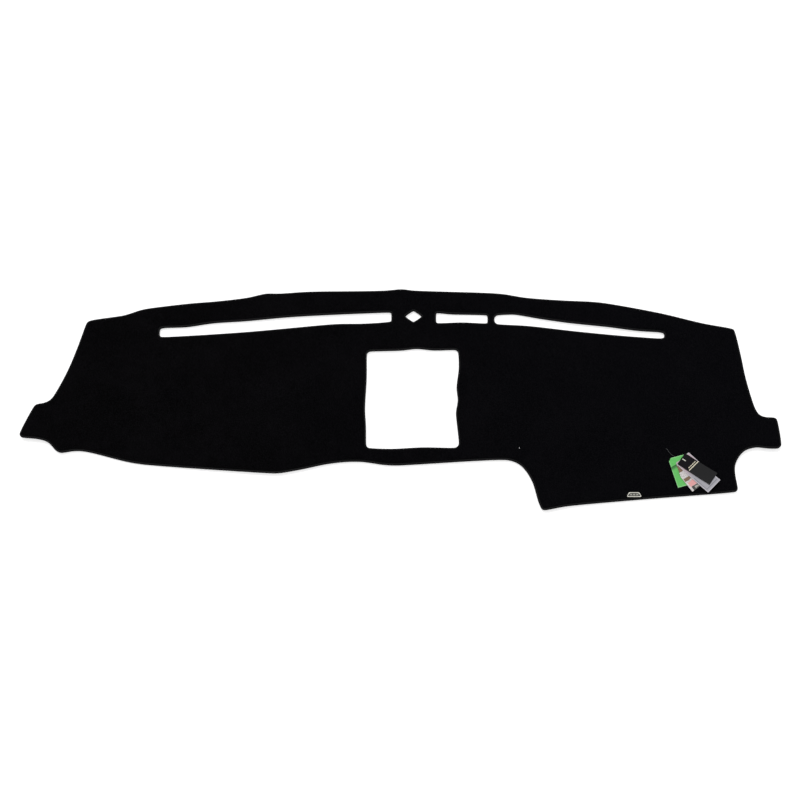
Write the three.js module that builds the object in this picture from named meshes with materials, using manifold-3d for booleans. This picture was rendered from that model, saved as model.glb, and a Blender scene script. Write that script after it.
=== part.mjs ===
// Dashboard cover mat, laid flat
//
// One sheet of carpet cut to the plan of a pickup truck's dashboard, with its edges oversewn,
// a small metal badge, and four swing tags on a nylon pin.
// Lengths are millimetres. +X runs along the dashboard to the right, +Y points to the windscreen
// and +Z up.

import * as THREE from "three";
import { mergeVertices } from "three/addons/utils/BufferGeometryUtils.js";
import Module from "manifold-3d";

const wasm = await Module();
wasm.setup();

// Sheet and its oversewn edge
const SHEET_THICKNESS = 5;
const EDGE_BAND_WIDTH = 5;
const THREAD_BUILD = 0.5;
const THREAD_ROUNDING = 0.8;
const GROOVE_RAMP = 1;
const SEAT_GAP = 0.3;

// Largest distance between a curve and the straight pieces that stand for it
const CURVE_TOLERANCE = 0.45;

// Main sizes of the outline, measured from the middle of the sheet
const LEFT_EAR_REACH = 778;
const RIGHT_EAR_REACH = 776.5;
const CREST_DISTANCE = 239;
const CABIN_EDGE_DISTANCE = 138;

// The ears, from their tips to the wing corners at the windscreen pillars, and how far those
// corners lie behind the crest
const LEFT_EAR_LENGTH = 126;
const RIGHT_EAR_LENGTH = 79.5;
const LEFT_WING_FALL = 73;
const RIGHT_WING_FALL = 90;

// The flap in front of the instruments: how far its heel lies from the right ear's tip, its
// width, and how far its two corners drop below the cabin edge
const FLAP_HEEL_INSET = 93.5;
const FLAP_WIDTH = 396;
const FLAP_TIP_DROP = 102;
const FLAP_HEEL_DROP = 62;

// Ear tips below the sheet's middle, the cabin edge's lobe left of the opening, and the crest
const LEFT_EAR_TIP_DROP = 87;
const RIGHT_EAR_TIP_DROP = 111;
const LOBE_X = -262;
const LOBE_DROP = 24;
const CREST_X = 4;

const LEFT_EAR_TIP_RADIUS = 8;
const FLAP_TIP_RADIUS = 7;
const FLAP_HEEL_RADIUS = 8;
const RIGHT_EAR_TIP_RADIUS = 10;
const RIGHT_EAR_SHOULDER_RADIUS = 7;
const RIGHT_WING_RADIUS = 7;
const LEFT_WING_RADIUS = 12;
const LEFT_EAR_SHOULDER_RADIUS = 12;

// Hand-set points: from a corner, behind the crest, or bowed off the line between two points by
// a distance to its left, at a share of the way along it
const near = ([x, y], offsets) => offsets.map(([dx, dy]) => [x + dx, y + dy]);
const behindCrest = (points) => points.map(([x, fall, ...rest]) => [x, CREST_DISTANCE - fall, ...rest]);
function bowed([startX, startY], [endX, endY], stations) {
  const [dx, dy] = [endX - startX, endY - startY];
  const length = Math.hypot(dx, dy);
  return stations.map(([share, bow]) => [
    startX + share * dx - (bow * dy) / length,
    startY + share * dy + (bow * dx) / length,
  ]);
}

// Corners and turning points of the outline
const leftEarTip = [-LEFT_EAR_REACH, -LEFT_EAR_TIP_DROP];
const rightEarTip = [RIGHT_EAR_REACH, -RIGHT_EAR_TIP_DROP];
const [leftEarShoulder, leftEarNeck] = near(leftEarTip, [[30, 71], [133, -28]]);
const [rightEarShoulder] = near(rightEarTip, [[-5.5, 66]]);
const leftWing = [LEFT_EAR_LENGTH - LEFT_EAR_REACH, CREST_DISTANCE - LEFT_WING_FALL];
const rightWing = [RIGHT_EAR_REACH - RIGHT_EAR_LENGTH, CREST_DISTANCE - RIGHT_WING_FALL];
const crest = [CREST_X, CREST_DISTANCE];
const flapHeel = [RIGHT_EAR_REACH - FLAP_HEEL_INSET, -CABIN_EDGE_DISTANCE - FLAP_HEEL_DROP];
const flapTip = [flapHeel[0] - FLAP_WIDTH, -CABIN_EDGE_DISTANCE - FLAP_TIP_DROP];
const flapShoulder = [flapTip[0] - 65, -CABIN_EDGE_DISTANCE + 3.5];
const lobe = [LOBE_X, -CABIN_EDGE_DISTANCE - LOBE_DROP];

// Outer outline, counter-clockwise: each run goes from one corner to the next
const cabinRun = [
  leftEarTip,
  ...near(leftEarTip, [[38, -3], [58, -8], [69, -16], [79, -27], [89, -31.5], [108, -28.5]]),
  leftEarNeck,
  ...bowed(leftEarNeck, lobe, [[0.12, -4.5], [0.28, -12], [0.54, -9], [0.9, -2.5]]),
  lobe,
  ...bowed(lobe, flapShoulder, [
    [0.035, -1], [0.13, 4.5], [0.23, 12.5], [0.315, 15.5], [0.39, 13.5], [0.5, 3.5], [0.665, 2.5],
    [0.915, 2.5],
  ]),
  flapShoulder,
  ...near(flapTip, [[-46, 98], [-32, 84], [-18, 57], [-12, 33], [-6, 12]]),
  flapTip,
];
const flapRun = [
  flapTip,
  ...bowed(flapTip, flapHeel, [[0.035, 1.5], [0.135, 4.5], [0.29, 4.5], [0.54, 3.5], [0.79, 1.5]]),
  flapHeel,
];
const notchRun = [
  flapHeel,
  ...near(flapHeel, [[-4, 35], [-3, 55], [7, 74]]),
  ...near(rightEarTip, [[-73.5, -3], [-51.5, 3], [-31.5, 1]]),
  rightEarTip,
];
const rightEarRun = [rightEarTip, ...near(rightEarTip, [[-1.5, 23]]), rightEarShoulder];
const rightWingRun = [
  rightEarShoulder,
  ...near(rightEarShoulder, [[-11, 1], [-27, 3], [-37, 10], [-44, 27], [-49, 50]]),
  ...near(rightWing, [[16, -99], [10, -54]]),
  rightWing,
];
const windscreenRun = [
  rightWing,
  ...bowed(rightWing, crest, [
    [0.085, -4.5], [0.215, -16], [0.29, -20], [0.405, -24], [0.52, -18.5], [0.625, -15],
    [0.705, -17], [0.865, -7], [0.965, -0.5],
  ]),
  crest,
  ...bowed(crest, leftWing, [
    [0.045, -0.5], [0.185, -9.5], [0.31, -16.5], [0.385, -18.5], [0.43, -21.5], [0.49, -17],
    [0.59, -16], [0.675, -17.5], [0.765, -16], [0.82, -15], [0.885, -5.5], [0.945, -3],
  ]),
  leftWing,
];
const leftWingRun = [
  leftWing,
  ...near(leftWing, [[-8, -28], [-18, -61], [-33, -105]]),
  ...near(leftEarShoulder, [[48, 42], [36, 18], [30, 10], [19, 4]]),
  leftEarShoulder,
];
const leftEarRun = [leftEarShoulder, leftEarTip];

// Defroster slots along the windscreen edge. Each station gives x, how far the slot's near side
// lies behind the crest, and the width of the slot.
const LEFT_SLOT = behindCrest([
  [-500, 87.5, 19.5], [-441, 84, 19.5], [-394, 76.5, 23.5], [-326, 71.5, 24.5],
  [-225, 62, 24.5], [-132, 57, 21], [-72, 54, 23], [-18, 52.5, 20],
]);
const CENTRE_SLOT = behindCrest([[76.5, 53, 22.5], [96, 55, 20], [131, 56.5, 17.5], [183, 58, 18]]);
const RIGHT_SLOT = behindCrest([
  [198, 58, 19.5], [240, 56.5, 23.5], [267, 61.5, 20.5], [351, 75, 17.5], [438, 85, 17],
  [496, 93, 14], [551, 97.5, 12.5],
]);
const SLOT_ROUND_END = 5.5;
const SLOT_SQUARE_END = 2.5;
const RIGHT_SLOT_WIDE_END = 9;

// Opening for a screen or speaker on the dashboard's top
const OPENING_X = 26.5;
const OPENING_Y = -2;
const OPENING_WIDTH = 189;
const OPENING_DEPTH = 212;
const OPENING_SKEW = 4;
const OPENING_CORNER_RADIUS = 8;
const OPENING_ROUNDER_CORNER_RADIUS = 10;

const openingLeft = OPENING_X - OPENING_WIDTH / 2;
const openingRight = OPENING_X + OPENING_WIDTH / 2;
const openingLow = OPENING_Y - OPENING_DEPTH / 2;
const openingTop = OPENING_Y + OPENING_DEPTH / 2;
const openingTopLeft = [openingLeft, openingTop - OPENING_SKEW];
const openingLowLeft = [openingLeft, openingLow];
const openingLowRight = [openingRight, openingLow];
const openingTopRight = [openingRight, openingTop];
const openingLeftRun = [
  openingTopLeft,
  ...near(openingTopLeft, [[0, -55], [-3, -126], [-1, -160]]),
  openingLowLeft,
];
const openingLowRun = [
  openingLowLeft,
  ...near(openingLowLeft, [[53, -2], [114, 1]]),
  openingLowRight,
];
const openingRightRun = [
  openingLowRight,
  ...near(openingLowRight, [[-3, 38], [-6, 73], [-2, 103], [-4, 129], [1, 173]]),
  openingTopRight,
];
const openingTopRun = [
  openingTopRight,
  ...near(openingTopRight, [[-53, -1], [-86, 2], [-111, -1]]),
  openingTopLeft,
];

// Diamond hole for the light sensor
const SENSOR_HOLE_X = 28.8;
const SENSOR_HOLE_FALL = 61;
const SENSOR_HOLE_WIDTH = 34.5;
const SENSOR_HOLE_DEPTH = 24.6;
const SENSOR_HOLE_CORNER_RADIUS = 1.5;

// Small round hole left of the flap: how far it lies from the flap's tip and in from the edge
const PIN_HOLE_OFFSET = 43.4;
const PIN_HOLE_DISTANCE = 30;
const PIN_HOLE_DIAMETER = 3;

// Badge, a cast plate at a distance from the flap's tip, set level with the crest
const BADGE_DISTANCE = 186;
const BADGE_EDGE_DISTANCE = 5.8;
const BADGE_BASE_WIDTH = 28.4;
const BADGE_TOP_WIDTH = 21;
const BADGE_HEIGHT = 9.8;
const BADGE_CORNER = 2.4;
const BADGE_PLATE_THICKNESS = 0.8;
const BADGE_RIM_WIDTH = 1.5;
const BADGE_RELIEF = 0.7;
const BADGE_BAR_RELIEF = 0.35;
const BADGE_BAR_COUNT = 3;
const BADGE_BAR_WIDTH = 4.2;
const BADGE_BAR_HEIGHT = 3;
const BADGE_BAR_SPACING = 6.2;

// Swing tags, from the sheet upwards. A tag's long side runs from the pin at its angle, in
// degrees from +X; the side shift is how far its middle line lies from the pin.
const PIN_INSET = 107;
const PIN_RISE = 65;
const pinX = flapHeel[0] - PIN_INSET;
const pinY = flapHeel[1] + PIN_RISE;
const TAG_HOLE_DIAMETER = 3.4;
const GREEN_TAG = {
  length: 63, width: 49, thickness: 0.5, holeInset: 11.6, sideShift: -5.3, angle: -74.5,
  clipLength: 6, clipWidth: 6,
};
const PRINTED_TAG = {
  length: 66.5, width: 48, thickness: 0.5, holeInset: 5, sideShift: -3.5, angle: -54.5,
  clipLength: 29, clipWidth: 11,
};
const GREY_TAG = {
  length: 84, width: 36, thickness: 0.5, holeInset: 4.2, sideShift: 0.55, angle: -45,
  clipLength: 0.8, clipWidth: 0.8,
};
const BLACK_TAG = {
  length: 76, width: 29, thickness: 0.5, holeInset: 6.5, sideShift: -0.8, angle: -35.5,
  clipLength: 0.8, clipWidth: 0.8,
};

// Nylon pin: a bar under the sheet, a thin filament, and a head on the top tag
const FILAMENT_DIAMETER = 0.8;
const FILAMENT_SIDES = 8;
const FILAMENT_STEPS = 40;
const CROSSBAR_DIAMETER = 1.1;
const CROSSBAR_LENGTH = 9;
const CROSSBAR_ANGLE = 40;
const HEAD_LENGTH = 8;
const HEAD_WIDTH = 1.6;
const HEAD_THICKNESS = 0.8;
const HEAD_ANGLE = -33;
const ARCH_HEIGHT = 2.2;
const FILAMENT_REACH_X = 35;
const FILAMENT_REACH_Y = 26;
const crossbarX = pinX - FILAMENT_REACH_X;
const crossbarY = pinY + FILAMENT_REACH_Y;

const carpet = new THREE.MeshStandardMaterial({ color: 0x0a090b, roughness: 0.95, metalness: 0 });
const thread = new THREE.MeshStandardMaterial({ color: 0x08080a, roughness: 0.7, metalness: 0 });
const castMetal = new THREE.MeshStandardMaterial({ color: 0xcfcabd, roughness: 0.35, metalness: 0.8 });
const nylon = new THREE.MeshStandardMaterial({ color: 0x141416, roughness: 0.4, metalness: 0 });
const greenCard = new THREE.MeshStandardMaterial({ color: 0x5ab95a, roughness: 0.5, metalness: 0 });
const printedCard = new THREE.MeshStandardMaterial({ color: 0xd9c3bd, roughness: 0.4, metalness: 0 });
const greyCard = new THREE.MeshStandardMaterial({ color: 0xa9a5aa, roughness: 0.5, metalness: 0 });
const blackCard = new THREE.MeshStandardMaterial({ color: 0x1b1b1d, roughness: 0.6, metalness: 0 });

const radians = THREE.MathUtils.degToRad;
const cover = new THREE.Group();

function addPart(name, geometry, material, placement = {}) {
  const { x = 0, y = 0, z = 0, angle = 0 } = placement;
  const mesh = new THREE.Mesh(geometry, material);
  mesh.name = name;
  mesh.position.set(x, y, z);
  mesh.rotation.z = radians(angle);
  cover.add(mesh);
  return mesh;
}

// Joining and cutting closed bodies
function toSolid(geometry) {
  const plain = geometry.clone();
  plain.deleteAttribute("normal");
  plain.deleteAttribute("uv");
  const merged = mergeVertices(plain, 1e-4);
  const mesh = new wasm.Mesh({
    numProp: 3,
    vertProperties: new Float32Array(merged.attributes.position.array),
    triVerts: new Uint32Array(merged.index.array),
  });
  return new wasm.Manifold(mesh);
}

function toGeometry(solid) {
  const mesh = solid.getMesh();
  const geometry = new THREE.BufferGeometry();
  geometry.setAttribute("position", new THREE.BufferAttribute(mesh.vertProperties, 3));
  geometry.setIndex(new THREE.BufferAttribute(mesh.triVerts, 1));
  geometry.computeVertexNormals();
  return geometry;
}

// Curves and outlines
function smoothCurve(points) {
  const through = points.map(([x, y]) => new THREE.Vector3(x, y, 0));
  const curve = new THREE.CatmullRomCurve3(through, false, "centripetal");
  curve.arcLengthDivisions = 1000;
  return curve;
}

function distanceToChord(point, start, end) {
  const chord = new THREE.Vector2().subVectors(end, start);
  const offset = new THREE.Vector2().subVectors(point, start);
  return Math.abs(chord.cross(offset)) / chord.length();
}

// Keeps only the points that a curve needs to stay within the tolerance
function thinned(points) {
  if (points.length < 3) {
    return points;
  }
  const first = points[0];
  const last = points[points.length - 1];
  const distances = points.slice(1, -1).map((point) => distanceToChord(point, first, last));
  const largest = Math.max(...distances);
  if (largest < CURVE_TOLERANCE) {
    return [first, last];
  }
  const split = distances.indexOf(largest) + 1;
  return [...thinned(points.slice(0, split + 1)).slice(0, -1), ...thinned(points.slice(split))];
}

function flat(vector) {
  return new THREE.Vector2(vector.x, vector.y);
}

// A closed outline of smooth runs. Run i starts at corner i, which is rounded to radii[i].
function roundedOutline(runs, radii) {
  const curves = runs.map(smoothCurve);
  const corners = curves.map((curve, i) => {
    const incoming = curves[(i + curves.length - 1) % curves.length].getTangentAt(1);
    const turn = incoming.angleTo(curve.getTangentAt(0));
    return { trim: radii[i] * Math.tan(turn / 2), handle: (4 / 3) * radii[i] * Math.tan(turn / 4) };
  });
  const points = [];
  curves.forEach((curve, i) => {
    const next = (i + 1) % curves.length;
    const length = curve.getLength();
    const from = corners[i].trim / length;
    const to = 1 - corners[next].trim / length;
    const steps = Math.ceil(((to - from) * length) / 2);
    const run = [];
    for (let step = 0; step <= steps; step += 1) {
      run.push(flat(curve.getPointAt(from + ((to - from) * step) / steps)));
    }
    const start = run[run.length - 1];
    const leave = flat(curve.getTangentAt(to));
    const nextFrom = corners[next].trim / curves[next].getLength();
    const end = flat(curves[next].getPointAt(nextFrom));
    const arrive = flat(curves[next].getTangentAt(nextFrom));
    const handle = corners[next].handle;
    const bend = new THREE.CubicBezierCurve(
      start,
      start.clone().addScaledVector(leave, handle),
      end.clone().addScaledVector(arrive, -handle),
      end,
    );
    points.push(...thinned(run).slice(0, -1), ...thinned(bend.getPoints(24)).slice(0, -1));
  });
  return points;
}

// The stitched-down material lies to the left of an outline's direction of travel
function asBoundary(points) {
  return THREE.ShapeUtils.isClockWise(points) ? [...points].reverse() : points;
}

function asHole(points) {
  return THREE.ShapeUtils.isClockWise(points) ? points : [...points].reverse();
}

function movedInto(points, distance) {
  return points.map((point, i) => {
    const before = new THREE.Vector2().subVectors(point, points[(i + points.length - 1) % points.length]);
    const after = new THREE.Vector2().subVectors(points[(i + 1) % points.length], point);
    const left = new THREE.Vector2(-before.y, before.x).normalize();
    const right = new THREE.Vector2(-after.y, after.x).normalize();
    const mitre = left.clone().add(right).divideScalar(1 + left.dot(right));
    return point.clone().addScaledVector(mitre, distance);
  });
}

// Closed bodies swept along outlines. A section is a list of [distance into the sheet, height].
class BodyBuilder {
  constructor() {
    this.positions = [];
    this.triangles = [];
  }

  addRing(outline, [distance, height]) {
    const first = this.positions.length / 3;
    movedInto(outline, distance).forEach((point) => this.positions.push(point.x, point.y, height));
    return { first, count: outline.length };
  }

  addStrip(lower, upper) {
    for (let i = 0; i < lower.count; i += 1) {
      const j = (i + 1) % lower.count;
      const [a, b] = [lower.first + i, lower.first + j];
      const [c, d] = [upper.first + j, upper.first + i];
      this.triangles.push(a, d, c, a, c, b);
    }
  }

  geometry() {
    const geometry = new THREE.BufferGeometry();
    geometry.setAttribute("position", new THREE.Float32BufferAttribute(this.positions, 3));
    geometry.setIndex(this.triangles);
    geometry.computeVertexNormals();
    return geometry;
  }
}

function sweptRing(outline, section) {
  const body = new BodyBuilder();
  const rings = section.map((corner) => body.addRing(outline, corner));
  rings.forEach((ring, i) => body.addStrip(ring, rings[(i + 1) % rings.length]));
  return body.geometry();
}

// A flat sheet whose edge section runs from its lower face, round the edge, to its upper face
function sheetBody(boundary, holes, edgeSection) {
  const body = new BodyBuilder();
  const outlines = [boundary, ...holes];
  const levels = edgeSection.map((corner) => outlines.map((outline) => body.addRing(outline, corner)));
  for (let level = 1; level < levels.length; level += 1) {
    outlines.forEach((_, i) => body.addStrip(levels[level][i], levels[level - 1][i]));
  }
  const facing = edgeSection[0][0];
  const [faceBoundary, ...faceHoles] = outlines.map((outline) => movedInto(outline, facing));
  const faces = THREE.ShapeUtils.triangulateShape(faceBoundary, faceHoles);
  const lower = levels[0][0].first;
  const upper = levels[levels.length - 1][0].first;
  faces.forEach(([a, b, c]) => {
    body.triangles.push(upper + a, upper + b, upper + c);
    body.triangles.push(lower + c, lower + b, lower + a);
  });
  return body.geometry();
}

// Outlines of the sheet and its openings
const outerOutline = asBoundary(roundedOutline(
  [
    cabinRun, flapRun, notchRun, rightEarRun, rightWingRun, windscreenRun, leftWingRun,
    leftEarRun,
  ],
  [
    LEFT_EAR_TIP_RADIUS, FLAP_TIP_RADIUS, FLAP_HEEL_RADIUS, RIGHT_EAR_TIP_RADIUS,
    RIGHT_EAR_SHOULDER_RADIUS, RIGHT_WING_RADIUS, LEFT_WING_RADIUS, LEFT_EAR_SHOULDER_RADIUS,
  ],
));

function slotOutline(stations, leftRadius, rightRadius) {
  const upper = stations.map(([x, y]) => [x, y]);
  const lower = stations.map(([x, y, width]) => [x, y - width]).reverse();
  const runs = [
    upper,
    [upper[upper.length - 1], lower[0]],
    lower,
    [lower[lower.length - 1], upper[0]],
  ];
  return asHole(roundedOutline(runs, [leftRadius, rightRadius, rightRadius, leftRadius]));
}

function sensorOutline() {
  const halfWidth = SENSOR_HOLE_WIDTH / 2;
  const halfDepth = SENSOR_HOLE_DEPTH / 2;
  const tips = behindCrest([
    [SENSOR_HOLE_X - halfWidth, SENSOR_HOLE_FALL],
    [SENSOR_HOLE_X, SENSOR_HOLE_FALL - halfDepth],
    [SENSOR_HOLE_X + halfWidth, SENSOR_HOLE_FALL],
    [SENSOR_HOLE_X, SENSOR_HOLE_FALL + halfDepth],
  ]);
  const runs = tips.map((tip, i) => [tip, tips[(i + 1) % tips.length]]);
  return asHole(roundedOutline(runs, tips.map(() => SENSOR_HOLE_CORNER_RADIUS)));
}

const holeOutlines = {
  left_slot: slotOutline(LEFT_SLOT, SLOT_ROUND_END, SLOT_SQUARE_END),
  centre_slot: slotOutline(CENTRE_SLOT, SLOT_SQUARE_END, SLOT_SQUARE_END),
  right_slot: slotOutline(RIGHT_SLOT, RIGHT_SLOT_WIDE_END, SLOT_ROUND_END),
  centre_opening: asHole(roundedOutline(
    [openingLeftRun, openingLowRun, openingRightRun, openingTopRun],
    [
      OPENING_CORNER_RADIUS, OPENING_CORNER_RADIUS, OPENING_ROUNDER_CORNER_RADIUS,
      OPENING_CORNER_RADIUS,
    ],
  )),
  sensor_hole: sensorOutline(),
};

// Nylon pin and the room that it takes in the sheet
const stackHeight = [GREEN_TAG, PRINTED_TAG, GREY_TAG, BLACK_TAG].reduce(
  (height, tag) => height + tag.thickness,
  SHEET_THICKNESS,
);
const crossbarHeight = SEAT_GAP + CROSSBAR_DIAMETER / 2;
const sunkHeight = SHEET_THICKNESS - SEAT_GAP - FILAMENT_DIAMETER / 2;
const headHeight = stackHeight + SEAT_GAP;

// The filament leaves the sheet, arches over the pile, sinks into it under the green tag and
// turns up through the tags. Its shares of the way are counted from the bar to the tags' holes.
function filamentPoint(share, height, sag = 0) {
  const x = crossbarX + share * FILAMENT_REACH_X - sag * FILAMENT_REACH_Y;
  const y = crossbarY - share * FILAMENT_REACH_Y - sag * FILAMENT_REACH_X;
  return new THREE.Vector3(x, y, height);
}
const filamentRoute = new THREE.CatmullRomCurve3([
  filamentPoint(0, crossbarHeight),
  filamentPoint(0, SHEET_THICKNESS - 1),
  filamentPoint(0.06, SHEET_THICKNESS + ARCH_HEIGHT, 0.02),
  filamentPoint(0.2, SHEET_THICKNESS + ARCH_HEIGHT, 0.07),
  filamentPoint(0.35, SHEET_THICKNESS, 0.1),
  filamentPoint(0.53, sunkHeight, 0.1),
  filamentPoint(0.78, sunkHeight, 0.06),
  filamentPoint(0.94, sunkHeight, 0.02),
  filamentPoint(1, SHEET_THICKNESS + FILAMENT_DIAMETER),
  filamentPoint(1, headHeight + HEAD_THICKNESS / 2),
], false, "centripetal");

function filament(diameter) {
  const circle = Array.from({ length: FILAMENT_SIDES }, (_, side) => {
    const angle = (2 * Math.PI * side) / FILAMENT_SIDES;
    return new THREE.Vector2(Math.cos(angle), Math.sin(angle)).multiplyScalar(diameter / 2);
  });
  const options = { steps: FILAMENT_STEPS, bevelEnabled: false, extrudePath: filamentRoute };
  return toSolid(new THREE.ExtrudeGeometry(new THREE.Shape(circle), options));
}

function crossbar(diameter, length) {
  const bar = new THREE.CylinderGeometry(diameter / 2, diameter / 2, length, 12);
  bar.rotateZ(Math.PI / 2);
  bar.rotateZ(radians(CROSSBAR_ANGLE));
  bar.translate(crossbarX, crossbarY, crossbarHeight);
  return toSolid(bar);
}

function crossbarRecess() {
  const width = CROSSBAR_DIAMETER + 2 * SEAT_GAP;
  const room = new THREE.BoxGeometry(CROSSBAR_LENGTH + 2 * SEAT_GAP, width, 2 * (crossbarHeight + width / 2));
  room.rotateZ(radians(CROSSBAR_ANGLE));
  room.translate(crossbarX, crossbarY, 0);
  return toSolid(room);
}

function pinHead() {
  const head = new THREE.BoxGeometry(HEAD_LENGTH, HEAD_WIDTH, HEAD_THICKNESS);
  head.rotateZ(radians(HEAD_ANGLE));
  head.translate(pinX, pinY, headHeight + HEAD_THICKNESS / 2);
  return toSolid(head);
}

function pinHoleCut() {
  const drill = new THREE.CylinderGeometry(PIN_HOLE_DIAMETER / 2, PIN_HOLE_DIAMETER / 2, 3 * SHEET_THICKNESS, 16);
  drill.rotateX(Math.PI / 2);
  drill.translate(flapTip[0] - PIN_HOLE_OFFSET, PIN_HOLE_DISTANCE - CABIN_EDGE_DISTANCE, SHEET_THICKNESS / 2);
  return toSolid(drill);
}

// Carpet sheet: full thickness inside, with a groove round every edge for the thread
const grooveDepth = THREAD_BUILD + SEAT_GAP;
const grooveEnd = EDGE_BAND_WIDTH - GROOVE_RAMP;
const edgeSection = [
  [EDGE_BAND_WIDTH, 0],
  [grooveEnd, grooveDepth],
  [grooveDepth, grooveDepth],
  [grooveDepth, SHEET_THICKNESS - grooveDepth],
  [grooveEnd, SHEET_THICKNESS - grooveDepth],
  [EDGE_BAND_WIDTH, SHEET_THICKNESS],
];
const sheet = toSolid(sheetBody(outerOutline, Object.values(holeOutlines), edgeSection))
  .subtract(pinHoleCut())
  .subtract(crossbarRecess())
  .subtract(filament(FILAMENT_DIAMETER + 2 * SEAT_GAP));
addPart("carpet_sheet", toGeometry(sheet), carpet);

// Oversewn thread round the outer edge and round each opening
const threadEnd = grooveEnd - SEAT_GAP;
const threadSection = [
  [THREAD_ROUNDING, 0],
  [threadEnd, 0],
  [threadEnd, THREAD_BUILD],
  [THREAD_BUILD, THREAD_BUILD],
  [THREAD_BUILD, SHEET_THICKNESS - THREAD_BUILD],
  [threadEnd, SHEET_THICKNESS - THREAD_BUILD],
  [threadEnd, SHEET_THICKNESS],
  [THREAD_ROUNDING, SHEET_THICKNESS],
  [0, SHEET_THICKNESS - THREAD_ROUNDING],
  [0, THREAD_ROUNDING],
];
addPart("outer_edge_thread", sweptRing(outerOutline, threadSection), thread);
for (const [name, outline] of Object.entries(holeOutlines)) {
  addPart(`${name}_thread`, sweptRing(outline, threadSection), thread);
}

// Badge: a plate with a raised rim and a row of plain bars
function badgeShape(margin) {
  const halfBase = BADGE_BASE_WIDTH / 2 - margin;
  const halfTop = BADGE_TOP_WIDTH / 2 - margin;
  const low = -BADGE_HEIGHT / 2 + margin;
  const high = BADGE_HEIGHT / 2 - margin;
  const shape = new THREE.Shape();
  const shoulder = BADGE_CORNER / (high - low);
  const shoulderX = halfTop + (halfBase - halfTop) * shoulder;
  shape.moveTo(-halfBase + BADGE_CORNER, low);
  shape.lineTo(halfBase - BADGE_CORNER, low);
  shape.quadraticCurveTo(halfBase, low, halfBase, low + BADGE_CORNER);
  shape.lineTo(shoulderX, high - BADGE_CORNER);
  shape.quadraticCurveTo(halfTop, high, halfTop - BADGE_CORNER, high);
  shape.lineTo(-halfTop + BADGE_CORNER, high);
  shape.quadraticCurveTo(-halfTop, high, -shoulderX, high - BADGE_CORNER);
  shape.lineTo(-halfBase, low + BADGE_CORNER);
  shape.quadraticCurveTo(-halfBase, low, -halfBase + BADGE_CORNER, low);
  return shape;
}

function badgeGeometry() {
  const options = { depth: BADGE_PLATE_THICKNESS, bevelEnabled: false, curveSegments: 6 };
  const plate = new THREE.ExtrudeGeometry(badgeShape(0), options);
  const rimShape = badgeShape(0);
  rimShape.holes.push(badgeShape(BADGE_RIM_WIDTH));
  const rimHeight = BADGE_PLATE_THICKNESS + BADGE_RELIEF;
  const rim = new THREE.ExtrudeGeometry(rimShape, { ...options, depth: rimHeight });
  let badge = toSolid(plate).add(toSolid(rim));
  for (let bar = 0; bar < BADGE_BAR_COUNT; bar += 1) {
    const x = (bar - (BADGE_BAR_COUNT - 1) / 2) * BADGE_BAR_SPACING;
    const height = BADGE_PLATE_THICKNESS + BADGE_BAR_RELIEF;
    const block = new THREE.BoxGeometry(BADGE_BAR_WIDTH, BADGE_BAR_HEIGHT, height);
    block.translate(x, 0, height / 2);
    badge = badge.add(toSolid(block));
  }
  return toGeometry(badge);
}

// Where the flap's edge crosses a given x, and the edge's direction there
function flapEdgeAt(x) {
  const curve = smoothCurve(flapRun);
  let low = 0;
  let high = 1;
  for (let round = 0; round < 40; round += 1) {
    const middle = (low + high) / 2;
    if (curve.getPointAt(middle).x < x) {
      low = middle;
    } else {
      high = middle;
    }
  }
  return { point: curve.getPointAt(low), direction: curve.getTangentAt(low) };
}

const badgeEdge = flapEdgeAt(flapTip[0] + BADGE_DISTANCE);
const badgeInset = BADGE_EDGE_DISTANCE + BADGE_HEIGHT / 2;
addPart("badge", badgeGeometry(), castMetal, {
  x: badgeEdge.point.x - badgeEdge.direction.y * badgeInset,
  y: badgeEdge.point.y + badgeEdge.direction.x * badgeInset,
  z: SHEET_THICKNESS,
});

// Swing tags, stacked on the sheet with their holes on the pin
function tagGeometry(tag) {
  const near = -tag.holeInset;
  const far = tag.length - tag.holeInset;
  const right = tag.sideShift + tag.width / 2;
  const left = tag.sideShift - tag.width / 2;
  const shape = new THREE.Shape([
    new THREE.Vector2(far, left),
    new THREE.Vector2(far, right),
    new THREE.Vector2(near + tag.clipLength, right),
    new THREE.Vector2(near, right - tag.clipWidth),
    new THREE.Vector2(near, left + tag.clipWidth),
    new THREE.Vector2(near + tag.clipLength, left),
  ]);
  const hole = new THREE.Path();
  hole.absarc(0, 0, TAG_HOLE_DIAMETER / 2, 0, 2 * Math.PI);
  shape.holes.push(hole);
  return new THREE.ExtrudeGeometry(shape, { depth: tag.thickness, bevelEnabled: false, curveSegments: 8 });
}

const tags = [
  ["green_tag", GREEN_TAG, greenCard],
  ["printed_tag", PRINTED_TAG, printedCard],
  ["grey_tag", GREY_TAG, greyCard],
  ["black_tag", BLACK_TAG, blackCard],
];
let tagHeight = SHEET_THICKNESS;
for (const [name, tag, material] of tags) {
  addPart(name, tagGeometry(tag), material, { x: pinX, y: pinY, z: tagHeight, angle: tag.angle });
  tagHeight += tag.thickness;
}

const pin = filament(FILAMENT_DIAMETER).add(crossbar(CROSSBAR_DIAMETER, CROSSBAR_LENGTH)).add(pinHead());
addPart("tag_pin", toGeometry(pin), nylon);

// The origin is the middle of the sheet's box, on its underside
const bounds = new THREE.Box3().setFromObject(cover);
const middle = bounds.getCenter(new THREE.Vector3());
cover.position.set(-middle.x, -middle.y, -bounds.min.z);

export default cover;
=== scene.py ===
# %% [markdown]
# A dashboard cover mat: a large flat sheet of black carpet with oversewn edges, a small cast
# badge and four swing tags on a nylon pin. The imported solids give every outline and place. Here
# they get the surfaces that a solid leaves out: a sheet that lies a little unevenly, rows of
# stitches, cards that curl, and the finish of each material.

# %% Load the fixed frame
import math

import bmesh
import bpy
import numpy as np
from mathutils import Matrix, Vector, noise
from mathutils.kdtree import KDTree


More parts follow.
